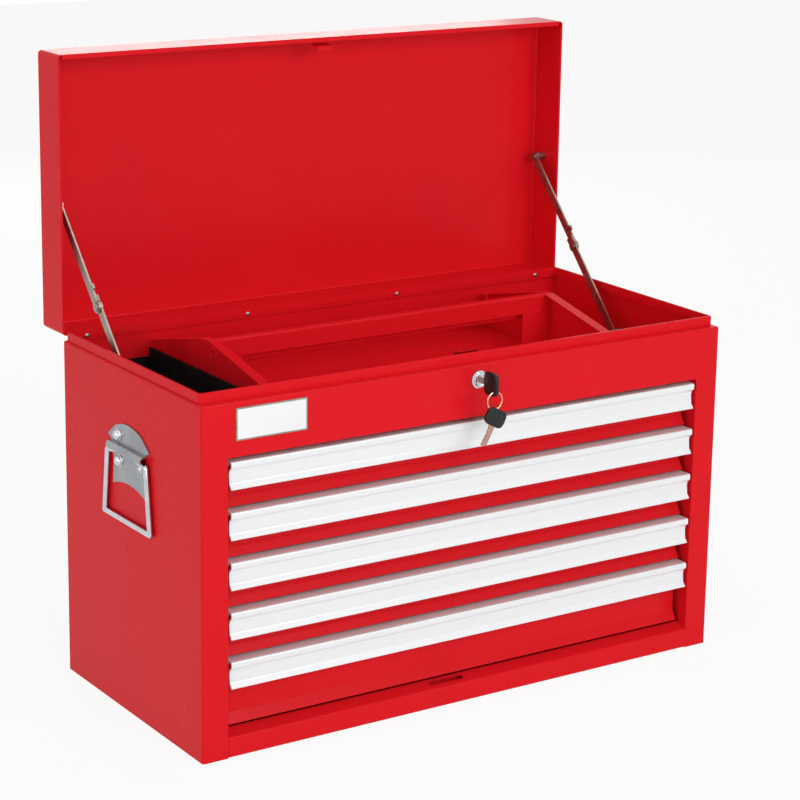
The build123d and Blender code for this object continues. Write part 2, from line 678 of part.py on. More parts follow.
# Drawers: a sheet pan with its front, a trim strip and a runner on each side
for row in range(DRAWERS):
    number = row + 1
    top = drawer_top(row)
    if number < DRAWERS:
        lip = drawer_top(number) + DRAWER_GAP
    else:
        lip = LAST_LIP_Z
    front_back = PAN_FRONT + PAN_SHEET

    with BuildPart() as pan:
        floor = lip + PAN_FLOOR_RISE
        with BuildSketch(Plane.XY.offset(floor)):
            with Locations((0, (front_back + PAN_BACK) / 2)):
                Rectangle(2 * PAN_HALF, PAN_BACK - front_back)
        extrude(amount=top - PAN_TOP_DROP - floor)
        bottom_edges = pan.faces().sort_by(Axis.Z)[0].edges()
        fillet(bottom_edges.filter_by(Axis.Y), radius=PAN_BEND)
        offset(amount=-PAN_SHEET, openings=pan.faces().sort_by(Axis.Z)[-1])
        for sign in (-1, 1):
            with BuildSketch(Plane.XY.offset(top - PAN_TOP_DROP - PAN_HEM_HEIGHT)):
                with Locations((sign * (PAN_HALF - PAN_HEM / 2), (front_back + PAN_BACK) / 2)):
                    Rectangle(PAN_HEM, PAN_BACK - front_back)
            extrude(amount=PAN_HEM_HEIGHT)
        front_top = top - FRONT_TOP_DROP
        face = [
            (PAN_FRONT + FRONT_TOP_RETURN, front_top),
            (PAN_FRONT, front_top),
            (PAN_FRONT, lip + FRONT_LIP_HEIGHT),
            (PAN_FRONT - FRONT_LIP, lip),
        ]
        with BuildSketch(along(-FRONT_HALF)):
            add(bent_sheet(face, 2 * PAN_SHEET, PAN_SHEET, Side.LEFT))
        extrude(amount=2 * FRONT_HALF)
    save(pan, f"drawer_{number}_pan")

    with BuildPart() as trim:
        strip = [
            (PAN_FRONT, top - TRIM_LEG),
            (PAN_FRONT, top),
            (PAN_FRONT - TRIM_REACH, top),
            (PAN_FRONT - TRIM_REACH, top - TRIM_LIP_HEIGHT),
            (PAN_FRONT - TRIM_FACE_REACH, top - TRIM_GROOVE_Z),
            (PAN_FRONT - TRIM_FACE_REACH + TRIM_DISH, top - TRIM_HEIGHT / 2),
            (PAN_FRONT - TRIM_FACE_REACH, top - TRIM_FACE_FOOT),
            (PAN_FRONT - TRIM_REACH, top - TRIM_HEIGHT),
        ]
        with BuildSketch(along(-FRONT_HALF)):
            add(bent_sheet(strip, TRIM_RADIUS, TRIM_SHEET, Side.LEFT))
        extrude(amount=2 * FRONT_HALF)
    save(trim, f"drawer_{number}_trim")

    for side, sign in SIDES:
        with BuildPart() as runner:
            middle = top - SLIDE_DROP
            tip = OPENING_HALF - RUNNER_TIP_GAP
            channel = [
                (tip, middle + RUNNER_HEIGHT / 2),
                (PAN_HALF, middle + RUNNER_HEIGHT / 2),
                (PAN_HALF, middle - RUNNER_HEIGHT / 2),
                (tip, middle - RUNNER_HEIGHT / 2),
            ]
            with BuildSketch(across(PAN_BACK)):
                add(folded_sheet(channel, SHEET, Side.LEFT))
            extrude(amount=PAN_BACK - front_back - PAN_SHEET)
            if sign < 0:
                mirror(about=Plane.YZ, mode=Mode.REPLACE)
        save(runner, f"drawer_{number}_{side}_runner")

# Side handles: a stamped plate with a channel that holds a swinging rod
handle_axis_x = HALF_W + HANDLE_ROD_OFF + HANDLE_ROD_R
channel_r = HANDLE_ROD_R + HANDLE_ROD_CLEARANCE
housing_r = channel_r + HANDLE_WALL
for side, sign in SIDES:
    with BuildPart() as handle_plate:
        top_z = HANDLE_AXIS_Z + HANDLE_TOP_RISE
        foot_z = HANDLE_AXIS_Z - HANDLE_FOOT_DROP
        ear_high = HANDLE_AXIS_Z + HANDLE_EAR_RISE
        ear_low = HANDLE_AXIS_Z - HANDLE_EAR_RISE
        tip_z = HANDLE_AXIS_Z + HANDLE_TIP_RISE
        waist_z = ear_low - HANDLE_EAR_HALF + HANDLE_WAIST_HALF
        with BuildSketch(along(HALF_W)):
            with BuildLine():
                ThreePointArc(
                    (-HANDLE_TOP_HALF, top_z),
                    (0, top_z + HANDLE_TOP_ARC),
                    (HANDLE_TOP_HALF, top_z),
                )
                Polyline(
                    (HANDLE_TOP_HALF, top_z),
                    (HANDLE_TIP_HALF, tip_z),
                    (HANDLE_EAR_HALF, ear_high),
                    (HANDLE_EAR_HALF, ear_low),
                    (HANDLE_WAIST_HALF, waist_z),
                    (HANDLE_FOOT_HALF, foot_z),
                )
                ThreePointArc(
                    (HANDLE_FOOT_HALF, foot_z),
                    (0, foot_z + HANDLE_FOOT_ARC),
                    (-HANDLE_FOOT_HALF, foot_z),
                )
                Polyline(
                    (-HANDLE_FOOT_HALF, foot_z),
                    (-HANDLE_WAIST_HALF, waist_z),
                    (-HANDLE_EAR_HALF, ear_low),
                    (-HANDLE_EAR_HALF, ear_high),
                    (-HANDLE_TIP_HALF, tip_z),
                    (-HANDLE_TOP_HALF, top_z),
                )
            make_face()
        extrude(amount=HANDLE_PLATE)
        with BuildSketch(across(HANDLE_EAR_HALF)):
            with Locations((handle_axis_x, HANDLE_AXIS_Z)):
                Circle(housing_r)
            with Locations(((HALF_W + handle_axis_x) / 2, HANDLE_AXIS_Z)):
                Rectangle(handle_axis_x - HALF_W, 2 * housing_r)
            with Locations((HALF_W - housing_r / 2, HANDLE_AXIS_Z)):
                Rectangle(housing_r, 2 * housing_r, mode=Mode.SUBTRACT)
        extrude(amount=2 * HANDLE_EAR_HALF)
        with BuildSketch(across(HANDLE_EAR_HALF)):
            with Locations((handle_axis_x, HANDLE_AXIS_Z)):
                Circle(channel_r)
            with Locations(((HALF_W + handle_axis_x) / 2, HANDLE_AXIS_Z)):
                Rectangle(handle_axis_x - HALF_W, 2 * channel_r)
        extrude(amount=2 * HANDLE_EAR_HALF, mode=Mode.SUBTRACT)
        if sign < 0:
            mirror(about=Plane.YZ, mode=Mode.REPLACE)
    save(handle_plate, f"{side}_handle_plate")

    with BuildPart() as bail:
        foot = HANDLE_AXIS_Z - BAIL_DROP
        with BuildLine(along(handle_axis_x)) as route:
            FilletPolyline(
                (-BAIL_END_GAP / 2, HANDLE_AXIS_Z),
                (-BAIL_TOP_HALF, HANDLE_AXIS_Z),
                (-BAIL_FOOT_HALF, foot),
                (BAIL_FOOT_HALF, foot),
                (BAIL_TOP_HALF, HANDLE_AXIS_Z),
                (BAIL_END_GAP / 2, HANDLE_AXIS_Z),
                radius=BAIL_BEND,
            )
        with BuildSketch(Plane(origin=route.line @ 0, z_dir=route.line % 0)):
            RegularPolygon(HANDLE_ROD_R, HANDLE_ROD_FACES)
        sweep()
        if sign < 0:
            mirror(about=Plane.YZ, mode=Mode.REPLACE)
    save(bail, f"{side}_handle_bail")

# Lock: housing, nut, plug with its key, ring
lock_front = FRONT_Y - LOCK_FLANGE
lock_back = FRONT_Y + LOCK_LENGTH
nut_front = FRONT_IN + BRACKET_SHEET
with BuildPart() as lock_housing:
    with BuildSketch(across(FRONT_Y)):
        with Locations((LOCK_X, LOCK_Z)):
            Circle(LOCK_FLANGE_R)
    extrude(amount=LOCK_FLANGE)
    chamfer(lock_housing.faces().sort_by(Axis.Y)[0].edges(), length=LOCK_DOME)
    with BuildSketch(across(lock_back)):
        with Locations((LOCK_X, LOCK_Z)):
            Circle(LOCK_BARREL_R)
    extrude(amount=LOCK_LENGTH)
    with BuildSketch(across(lock_back)):
        with Locations((LOCK_X, LOCK_Z)):
            Circle(LOCK_PLUG_R + LOCK_CLEARANCE)
    extrude(amount=LOCK_LENGTH + LOCK_FLANGE, mode=Mode.SUBTRACT)
save(lock_housing, "lock_housing")

with BuildPart() as lock_nut:
    with BuildSketch(across(nut_front + LOCK_NUT)):
        with Locations((LOCK_X, LOCK_Z)):
            RegularPolygon(LOCK_NUT_R, 6, rotation=30)
            Circle(LOCK_BARREL_R + LOCK_CLEARANCE, mode=Mode.SUBTRACT)
    extrude(amount=LOCK_NUT)
save(lock_nut, "lock_nut")

with BuildPart() as lock_plug:
    plug_front = lock_front + PLUG_PROUD
    plug_back = lock_back + CAM_THICKNESS + LOCK_CLEARANCE
    with BuildSketch(across(plug_back)):
        with Locations((LOCK_X, LOCK_Z)):
            Circle(LOCK_PLUG_R)
    extrude(amount=plug_back - plug_front)
    with BuildSketch(across(plug_back)):
        with Locations((LOCK_X, LOCK_Z)):
            Circle(CAM_R)
        with Locations((LOCK_X, LOCK_Z - CAM_R)):
            Rectangle(CAM_R, CAM_R)
    extrude(amount=CAM_THICKNESS)
    with BuildSketch(across(plug_front + KEY_DEPTH)):
        with Locations((LOCK_X, LOCK_Z)):
            Rectangle(
                KEY_BLADE + 2 * KEY_SLOT_CLEARANCE,
                KEY_BLADE_HEIGHT + 2 * KEY_SLOT_CLEARANCE,
            )
    extrude(amount=KEY_DEPTH, mode=Mode.SUBTRACT)
save(lock_plug, "lock_plug")

key_head_back = plug_front - KEY_SHANK
key_head_front = key_head_back - KEY_HEAD_LENGTH
key_hole_y = key_head_front + KEY_HOLE_IN
key_hole_z = LOCK_Z - KEY_HOLE_DROP
with BuildPart() as key:
    with BuildSketch(along(LOCK_X - KEY_BLADE / 2)):
        blade_back = plug_front + KEY_DEPTH - KEY_SLOT_CLEARANCE
        blade_length = blade_back - key_head_back + KEY_ROOT
        with Locations((blade_back - blade_length / 2, LOCK_Z)):
            Rectangle(blade_length, KEY_BLADE_HEIGHT)
    extrude(amount=KEY_BLADE)
    with BuildSketch(along(LOCK_X - KEY_HEAD / 2)):
        with Locations(((key_head_back + key_head_front) / 2, LOCK_Z)):
            RectangleRounded(KEY_HEAD_LENGTH, KEY_HEAD_HEIGHT, KEY_HEAD_RADIUS)
    extrude(amount=KEY_HEAD)
    side_faces = key.faces().filter_by(Axis.X).group_by(Axis.X)
    chamfer(side_faces[0].edges() + side_faces[-1].edges(), length=KEY_HEAD_EDGE)
    with BuildSketch(along(LOCK_X - KEY_HEAD)):
        with Locations((key_hole_y, key_hole_z)):
            Circle(KEY_HOLE_R)
    extrude(amount=2 * KEY_HEAD, mode=Mode.SUBTRACT)
save(key, "key")

with BuildPart() as key_ring:
    wire_z = key_hole_z - KEY_HOLE_R + RING_WIRE_R + RING_GAP
    ring_z = wire_z - RING_R
    with BuildSketch(along(LOCK_X)):
        with Locations((key_hole_y, wire_z)):
            RegularPolygon(RING_WIRE_R, RING_FACES)
    ring_axis = Axis((LOCK_X, key_hole_y, ring_z), (0, 1, 0))
    revolve(axis=ring_axis)
save(key_ring, "key_ring")

# Latch: bracket held by the lock's nut, hook on the bracket's pin, strike on the lid
with BuildPart() as latch_bracket:
    ear_x = HOOK_WIDTH / 2 + BRACKET_GAP
    ear_top = HOOK_AXIS_Z + 2 * HOOK_TUBE_R
    ear_foot = HOOK_AXIS_Z - 2 * HOOK_TUBE_R
    ear_back = HOOK_AXIS_Y + 2 * HOOK_TUBE_R
    plate_high = LOCK_Z + LOCK_FLANGE_R
    with BuildSketch(across(FRONT_IN + BRACKET_SHEET)):
        with Locations((LOCK_X, (plate_high + ear_foot) / 2)):
            Rectangle(2 * (ear_x + BRACKET_SHEET), plate_high - ear_foot)
        with Locations((LOCK_X, LOCK_Z)):
            Circle(LOCK_BARREL_R + LOCK_CLEARANCE, mode=Mode.SUBTRACT)
    extrude(amount=BRACKET_SHEET)
    for sign in (-1, 1):
        inner = LOCK_X + sign * ear_x
        with BuildSketch(along(min(inner, inner + sign * BRACKET_SHEET))):
            with Locations(((FRONT_IN + ear_back) / 2, (ear_top + ear_foot) / 2)):
                Rectangle(ear_back - FRONT_IN, ear_top - ear_foot)
        extrude(amount=BRACKET_SHEET)
    with BuildSketch(along(LOCK_X - ear_x)):
        with Locations((HOOK_AXIS_Y, HOOK_AXIS_Z)):
            Circle(HOOK_PIN_R)
    extrude(amount=2 * ear_x)
save(latch_bracket, "latch_bracket")

with BuildPart() as latch_hook:
    hook_line = [
        (HOOK_BACK_Y, HOOK_FOOT_Z),
        (HOOK_BACK_Y, HOOK_TOP_Z),
        (HOOK_BACK_Y - HOOK_LIP, HOOK_TOP_Z),
    ]
    with BuildSketch(along(LOCK_X - HOOK_WIDTH / 2)):
        add(bent_sheet(hook_line, 2 * EDGE_RADIUS, HOOK_SHEET, Side.LEFT))
        with Locations((HOOK_AXIS_Y, HOOK_AXIS_Z)):
            Circle(HOOK_TUBE_R)
            Circle(HOOK_PIN_R + HOOK_CLEARANCE, mode=Mode.SUBTRACT)
    extrude(amount=HOOK_WIDTH)
save(latch_hook, "latch_hook")

with BuildPart() as lid_strike:
    wall_y = FRONT_Y + LID_FRONT_INSET + SHEET
    leg_y = FRONT_Y + STRIKE_LEG_SET_BACK
    strike_line = [
        opened(wall_y, LEDGE_Z + STRIKE_TOP_RISE),
        opened(wall_y, LEDGE_Z + STRIKE_BRIDGE_RISE),
        opened(leg_y, LEDGE_Z + STRIKE_BRIDGE_RISE),
        opened(leg_y, LEDGE_Z + STRIKE_TONGUE_RISE),
        opened(leg_y + STRIKE_TONGUE, LEDGE_Z + STRIKE_TONGUE_RISE),
    ]
    with BuildSketch(along(LOCK_X - STRIKE_WIDTH / 2)):
        add(bent_sheet(strike_line, 2 * EDGE_RADIUS, STRIKE_SHEET, Side.LEFT))
    extrude(amount=STRIKE_WIDTH)
save(lid_strike, "lid_strike")

# Tote tray, with end plates that rise to the handle and turn in along their slopes
tray_floor = FLOOR_TOP + TRAY_SHEET
grip_back = HANDLE_SHEET_Y + GRIP_DEPTH
with BuildPart() as tote_tray:
    with BuildSketch(Plane.XY.offset(FLOOR_TOP)):
        with Locations((0, (TRAY_FRONT + TRAY_BACK) / 2)):
            Rectangle(2 * TRAY_HALF, TRAY_BACK - TRAY_FRONT)
    extrude(amount=TRAY_HEIGHT)
    offset(amount=-TRAY_SHEET, openings=tote_tray.faces().sort_by(Axis.Z)[-1])
    front_slope = [(TRAY_FRONT, GABLE_EAVES), (HANDLE_SHEET_Y - HANDLE_GAP, GRIP_TOP)]
    back_slope = [(grip_back + HANDLE_GAP, GRIP_TOP), (TRAY_BACK, GABLE_EAVES)]
    for sign in (-1, 1):
        inner = sign * (TRAY_HALF - TRAY_SHEET)
        turned_in = sign * (TRAY_HALF - GABLE_FLANGE)
        with BuildSketch(along(min(inner, sign * TRAY_HALF))):
            with BuildLine():
                Polyline(
                    (TRAY_FRONT, tray_floor),
                    *front_slope,
                    *back_slope,
                    (TRAY_BACK, tray_floor),
                    close=True,
                )
            make_face()
        extrude(amount=TRAY_SHEET)
        for slope in (front_slope, back_slope):
            with BuildSketch(along(min(inner, turned_in))):
                with BuildLine():
                    Polyline(*slope)
                    offset(amount=TRAY_SHEET, side=Side.RIGHT)
                make_face()
            extrude(amount=GABLE_FLANGE - TRAY_SHEET)
save(tote_tray, "tote_tray")

# Handle plate of the tray: a window under a grip rolled over to the back
with BuildPart() as tote_handle:
    plate_half = TRAY_HALF - TRAY_SHEET
    with BuildSketch(across(HANDLE_SHEET_Y + SHEET)):
        with Locations((0, (tray_floor + GRIP_TOP - 2 * SHEET) / 2)):
            Rectangle(2 * plate_half, GRIP_TOP - 2 * SHEET - tray_floor)
        with Locations((0, (WINDOW_TOP + WINDOW_BOTTOM) / 2)):
            Rectangle(2 * WINDOW_HALF, WINDOW_TOP - WINDOW_BOTTOM, mode=Mode.SUBTRACT)
    extrude(amount=SHEET)
    grip_line = [
        (HANDLE_SHEET_Y, WINDOW_TOP + SHEET),
        (HANDLE_SHEET_Y, GRIP_TOP),
        (grip_back, GRIP_TOP),
        (grip_back, GRIP_TOP - GRIP_LEG),
    ]
    with BuildSketch(along(-plate_half)):
        add(bent_sheet(grip_line, 2 * SHEET, SHEET, Side.RIGHT))
    extrude(amount=2 * plate_half)
save(tote_handle, "tote_handle")

# Moulded bin that stands to the left of the tray, with its right wall higher
with BuildPart() as parts_bin:
    bin_x = (BIN_LEFT + BIN_RIGHT) / 2
    bin_y = (BIN_FRONT + BIN_BACK) / 2
    with BuildSketch(Plane.XY.offset(FLOOR_TOP)):
        with Locations((bin_x, bin_y)):
            RectangleRounded(BIN_RIGHT - BIN_LEFT, BIN_BACK - BIN_FRONT, BIN_RADIUS)
    extrude(amount=BIN_HEIGHT)
    with BuildSketch(Plane.XY.offset(FLOOR_TOP + BIN_WALL)):
        with Locations((bin_x, bin_y)):
            inner_width = BIN_RIGHT - BIN_LEFT - 2 * BIN_WALL
            inner_length = BIN_BACK - BIN_FRONT - 2 * BIN_WALL
            Rectangle(inner_width, inner_length)
    extrude(amount=BIN_HEIGHT, mode=Mode.SUBTRACT)
    with BuildSketch(along(BIN_RIGHT - BIN_WALL)):
        with Locations((bin_y, (BIN_TOP + BIN_RIGHT_TOP) / 2)):
            wall_length = BIN_BACK - BIN_FRONT - 2 * BIN_RADIUS
            Rectangle(wall_length, BIN_RIGHT_TOP - BIN_TOP)
    extrude(amount=BIN_WALL)
save(parts_bin, "parts_bin")
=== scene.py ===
import json
import math

import bmesh
import bpy
from mathutils import Matrix, Vector


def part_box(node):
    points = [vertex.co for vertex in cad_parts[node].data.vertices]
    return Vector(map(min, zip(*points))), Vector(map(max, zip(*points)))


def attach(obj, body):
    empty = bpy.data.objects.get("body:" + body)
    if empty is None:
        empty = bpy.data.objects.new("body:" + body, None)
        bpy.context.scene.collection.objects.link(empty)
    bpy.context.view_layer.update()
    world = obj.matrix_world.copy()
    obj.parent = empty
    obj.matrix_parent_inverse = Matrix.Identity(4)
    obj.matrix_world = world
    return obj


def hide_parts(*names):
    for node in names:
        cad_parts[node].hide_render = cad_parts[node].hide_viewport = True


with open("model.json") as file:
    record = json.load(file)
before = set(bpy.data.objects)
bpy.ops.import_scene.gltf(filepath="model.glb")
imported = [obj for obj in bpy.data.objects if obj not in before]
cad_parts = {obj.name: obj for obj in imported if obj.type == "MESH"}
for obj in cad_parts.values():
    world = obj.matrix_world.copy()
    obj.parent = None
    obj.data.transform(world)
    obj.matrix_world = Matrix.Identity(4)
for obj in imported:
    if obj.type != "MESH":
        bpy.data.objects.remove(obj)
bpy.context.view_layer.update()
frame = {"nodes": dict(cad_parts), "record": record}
nodes = frame["nodes"]
MM = 0.001


# Materials


def shader(name):
    """A new material, its node tree and its main shader."""
    material = bpy.data.materials.new(name)
    material.use_nodes = True
    tree = material.node_tree
    return material, tree, tree.nodes["Principled BSDF"]


def mapped(tree, scale):
    """Object coordinates stretched by a scale for each axis."""
    coords = tree.nodes.new("ShaderNodeTexCoord")
    mapping = tree.nodes.new("ShaderNodeMapping")
    mapping.inputs["Scale"].default_value = scale
    tree.links.new(coords.outputs["Object"], mapping.inputs["Vector"])
    return mapping.outputs["Vector"]


def noise(tree, scale, detail, stretch=(1, 1, 1), rough=0.5):
    """A noise value at so many cells per metre."""
    texture = tree.nodes.new("ShaderNodeTexNoise")
    texture.inputs["Scale"].default_value = scale
    texture.inputs["Detail"].default_value = detail
    texture.inputs["Roughness"].default_value = rough
    tree.links.new(mapped(tree, stretch), texture.inputs["Vector"])
    return texture.outputs["Fac"]


def ramp(tree, value, low, high):
    """A value turned into a colour between two ends."""
    node = tree.nodes.new("ShaderNodeValToRGB")
    first, last = node.color_ramp.elements
    first.position = 0.3
    last.position = 0.7
    first.color = (*low, 1)
    last.color = (*high, 1)
    tree.links.new(value, node.inputs["Fac"])
    return node.outputs["Color"]


def grey(value):
    return (value, value, value)


def gloss(tree, bsdf, value, low, high):
    """Roughness that follows a value between two ends."""
    tree.links.new(ramp(tree, value, grey(low), grey(high)), bsdf.inputs["Roughness"])


def bump(tree, bsdf, value, strength, distance):
    """Joins a height to the shader, on top of any bump it has."""
    node = tree.nodes.new("ShaderNodeBump")
    node.inputs["Strength"].default_value = strength
    node.inputs["Distance"].default_value = distance
    tree.links.new(value, node.inputs["Height"])
    if bsdf.inputs["Normal"].links:
        tree.links.new(bsdf.inputs["Normal"].links[0].from_socket, node.inputs["Normal"])
    tree.links.new(node.outputs["Normal"], bsdf.inputs["Normal"])


def enamel(name, light, dark, roughness, specular, coat):
    """Sprayed enamel: a slight cloud in the colour, orange peel and fine grain."""
    material, tree, bsdf = shader(name)
    tree.links.new(ramp(tree, noise(tree, 7, detail=4), dark, light), bsdf.inputs["Base Color"])
    gloss(tree, bsdf, noise(tree, 22, detail=5, rough=0.6), *roughness)
    bump(tree, bsdf, noise(tree, 320, detail=1), 0.006, 0.0003)
    bump(tree, bsdf, noise(tree, 1400, detail=1), 0.02, 0.0002)
    bsdf.inputs["Specular IOR Level"].default_value = specular
    bsdf.inputs["Coat Weight"].default_value = coat
    bsdf.inputs["Coat Roughness"].default_value = 0.05
    return material


def brushed(name, light, dark, stretch, metallic, roughness):
    """Metal with streaks along one axis."""
    material, tree, bsdf = shader(name)
    streaks = noise(tree, 1, stretch=stretch, detail=6, rough=0.7)
    tree.links.new(ramp(tree, streaks, dark, light), bsdf.inputs["Base Color"])
    gloss(tree, bsdf, streaks, roughness[1], roughness[0])
    bump(tree, bsdf, streaks, 0.06, 0.0002)
    bsdf.inputs["Metallic"].default_value = metallic
    return material


def plated(name, light, dark, scale, roughness):
    """Plated steel with a soft bloom in its tone and gloss."""
    material, tree, bsdf = shader(name)
    bloom = noise(tree, scale, detail=5, rough=0.65)
    tree.links.new(ramp(tree, bloom, dark, light), bsdf.inputs["Base Color"])
    gloss(tree, bsdf, noise(tree, 3 * scale, detail=4), *roughness)
    bump(tree, bsdf, noise(tree, 1500, detail=2), 0.03, 0.0001)
    bsdf.inputs["Metallic"].default_value = 1.0
    return material


def moulded(name, light, dark, roughness, specular):
    """Moulded plastic with a fine grain."""
    material, tree, bsdf = shader(name)
    tree.links.new(ramp(tree, noise(tree, 30, detail=4), dark, light), bsdf.inputs["Base Color"])
    gloss(tree, bsdf, noise(tree, 60, detail=4), *roughness)
    bump(tree, bsdf, noise(tree, 1800, detail=2), 0.12, 0.0002)
    bsdf.inputs["Specular IOR Level"].default_value = specular
    return material


RED = enamel("red_enamel", (0.72, 0.009, 0.016), (0.69, 0.0085, 0.015), (0.26, 0.31), 0.07, 0.02)
TRIM = brushed("trim_metal", (0.86, 0.866, 0.88), (0.8, 0.806, 0.82), (3, 900, 900), 0.2, (0.26, 0.36))
ZINC = plated("zinc_plate", (0.4, 0.36, 0.32), (0.26, 0.23, 0.2), 60, (0.3, 0.48))
RING = plated("ring_wire", (0.86, 0.46, 0.28), (0.72, 0.35, 0.2), 90, (0.12, 0.24))
HANDLE = plated("handle_plate_metal", (0.38, 0.395, 0.41), (0.28, 0.29, 0.305), 30, (0.26, 0.38))
CHROME = plated("bright_chrome", (0.66, 0.66, 0.69), (0.5, 0.5, 0.53), 80, (0.05, 0.12))
# Blade metal for both keys: its copper tone is a painted reflection of the red chest in the nickel-plated
# blades.
BLADE_RED_REFLECTION = brushed("key_blade_metal", (0.56, 0.36, 0.3), (0.42, 0.25, 0.2), (900, 900, 60), 1.0, (0.24, 0.38))
# Near-black moulding for the parts bin in the left of the top well: the bin and its colour are painted
# shade, a dark box set where that corner lies in deep shade.
PAINTED_SHADE_BLACK = moulded("painted_shade_black_moulding", (0.005, 0.005, 0.0055), (0.003, 0.003, 0.0034), (0.55, 0.75), 0.15)
KEY_BLACK = moulded("key_moulding", (0.011, 0.012, 0.012), (0.006, 0.006, 0.007), (0.34, 0.5), 0.3)
PLATE = enamel("bare_plate", (0.88, 0.885, 0.89), (0.84, 0.845, 0.85), (0.2, 0.3), 0.4, 0.1)

SLOT_MATERIALS = {
    "red_paint": RED,
    "silver_trim": TRIM,
    "zinc_steel": ZINC,
    "handle_steel": HANDLE,
    "chrome": CHROME,
    "key_black": KEY_BLACK,
    # The black_plastic slot gets the painted-shade black of the parts bin.
    "black_plastic": PAINTED_SHADE_BLACK,
}
NODE_MATERIALS = {"key_ring": RING}


def dress_nodes():
    """Gives each node of the frame the material of its slot."""
    for part in frame["record"]["subparts"]:
        node = nodes[part["node"]]
        material = NODE_MATERIALS.get(part["node"], SLOT_MATERIALS[part["material_slot"]])
        if not node.material_slots:
            node.data.materials.append(material)
        for slot in node.material_slots:
            slot.material = material


# Mesh helpers; sizes are in millimetres

SHARP_ANGLE = math.radians(35)


def finish_piece(bm, name, material, body):
    """Turns a mesh in millimetres into a smooth piece that rides on a body."""
    bmesh.ops.recalc_face_normals(bm, faces=bm.faces)
    bmesh.ops.scale(bm, vec=(MM, MM, MM), verts=bm.verts)
    mesh = bpy.data.meshes.new(name)
    bm.to_mesh(mesh)
    bm.free()
    mesh.materials.append(material)
    mesh.shade_smooth()
    mesh.set_sharp_from_angle(angle=SHARP_ANGLE)
    piece = bpy.data.objects.new(name, mesh)
    bpy.context.scene.collection.objects.link(piece)
    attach(piece, body)
    return piece


def corners(name):
    """Lowest and highest corner of a node of the frame in millimetres."""
    low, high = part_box(name)
    return low / MM, high / MM


def bridge(bm, lower, upper):
    """Joins two rings of the same number of vertices."""
    count = len(lower)
    for step in range(count):
        after = (step + 1) % count
        bm.faces.new((lower[step], lower[after], upper[after], upper[step]))


def shell(bm, rings):
    """Joins rings one after the other and closes both ends."""
    for lower, upper in zip(rings, rings[1:]):
        bridge(bm, lower, upper)
    bm.faces.new(rings[-1])
    bm.faces.new(reversed(rings[0]))


def circle(bm, centre, side, other, radius, steps):
    """A ring of vertices round a centre."""
    ring = []
    for step in range(steps):
        turn = 2 * math.pi * step / steps
        ring.append(bm.verts.new(centre + radius * (math.cos(turn) * side + math.sin(turn) * other)))
    return ring


def lathe(bm, profile, centre, axis, steps):
    """Turns a profile of (radius, height) points round an axis, and closes it at a radius of 0."""
    axis = Vector(axis).normalized()
    side = axis.orthogonal().normalized()
    other = axis.cross(side)
    rings = []
    for radius, height in profile:
        foot = Vector(centre) + axis * height
        if radius == 0:
            rings.append([bm.verts.new(foot)])
        else:
            rings.append(circle(bm, foot, side, other, radius, steps))
    for lower, upper in zip(rings, rings[1:]):
        if len(upper) > 1:
            bridge(bm, lower, upper)
            continue
        for step in range(steps):
            bm.faces.new((lower[step], lower[(step + 1) % steps], upper[0]))


def dome(radius, height, rise=0.0, rings=5):
    """Profile of a low round head, from its rim to its crown."""
    profile = []
    for ring in range(rings):
        turn = math.pi / 2 * ring / rings
        profile.append((radius * math.cos(turn), rise + height * math.sin(turn)))
    return profile + [(0, rise + height)]


def slab(bm, outline, layers, middle, across, up):
    """A solid from an outline; each layer shrinks it by an inset at a height over its back."""
    across = Vector(across).normalized()
    up = Vector(up).normalized()
    out = across.cross(up)
    rings = []
    for inset, height in layers:
        ring = []
        for x, y in outline:
            scale = 1 - inset / math.hypot(x, y)
            ring.append(bm.verts.new(Vector(middle) + (across * x + up * y) * scale + out * height))
        rings.append(ring)
    shell(bm, rings)


def rounded_outline(width, height, radius, steps):
    """A rectangle with its corners rounded, centred on its middle."""
    outline = []
    for side_x, side_y, first in ((1, 1, 0), (-1, 1, 90), (-1, -1, 180), (1, -1, 270)):
        for step in range(steps + 1):
            turn = math.radians(first + 90 * step / steps)
            x = side_x * (width / 2 - radius) + radius * math.cos(turn)
            y = side_y * (height / 2 - radius) + radius * math.sin(turn)
            outline.append((x, y))
    return outline


def softened(thickness, bevel):
    """Layers of a plate whose front edge is rounded over."""
    return ((0, 0), (0, thickness - bevel), (0.3 * bevel, thickness - 0.3 * bevel), (bevel, thickness))


def pillow(thickness, bevel):
    """Layers of a plate with both edges rounded over, set evenly about its middle."""
    half = softened(thickness / 2, bevel)
    return [(inset, -height) for inset, height in reversed(half[1:])] + list(half[1:])


def filleted(points, radius, steps=8):
    """A path through points whose inner corners are rounded by a radius."""
    path = [Vector(points[0])]
    for before, corner, after in zip(points, points[1:], points[2:]):
        corner = Vector(corner)
        to_before = (Vector(before) - corner).normalized()
        to_after = (Vector(after) - corner).normalized()
        half = to_before.angle(to_after) / 2
        bisector = (to_before + to_after).normalized()
        centre = corner + bisector * radius / math.sin(half)
        first = corner + to_before * radius / math.tan(half) - centre
        last = corner + to_after * radius / math.tan(half) - centre
        for step in range(steps + 1):
            path.append(centre + first.slerp(last, step / steps))
    return path + [Vector(points[-1])]


def tube(bm, path, radius, normal, sides=20):
    """A round bar along a path that lies in the plane of a normal."""
    normal = Vector(normal)
    rings = []
    for index, point in enumerate(path):
        before = path[max(index - 1, 0)]
        after = path[min(index + 1, len(path) - 1)]
        side = normal.cross(after - before).normalized()
        rings.append(circle(bm, point, side, normal, radius, sides))
    shell(bm, rings)


# Pieces

FRONT = (0, -1, 0)
ACROSS = (1, 0, 0)
UP = (0, 0, 1)
SIDES = (("left", -1), ("right", 1))
RIVET_RADIUS = 2.6
RIVET_STEPS = 20
RIVET = dome(RIVET_RADIUS, 1.1)
COLLAR_HEIGHT = 10.5
_, RIM_HIGH = corners("top_rim")
LEDGE_Z = RIM_HIGH.z - COLLAR_HEIGHT


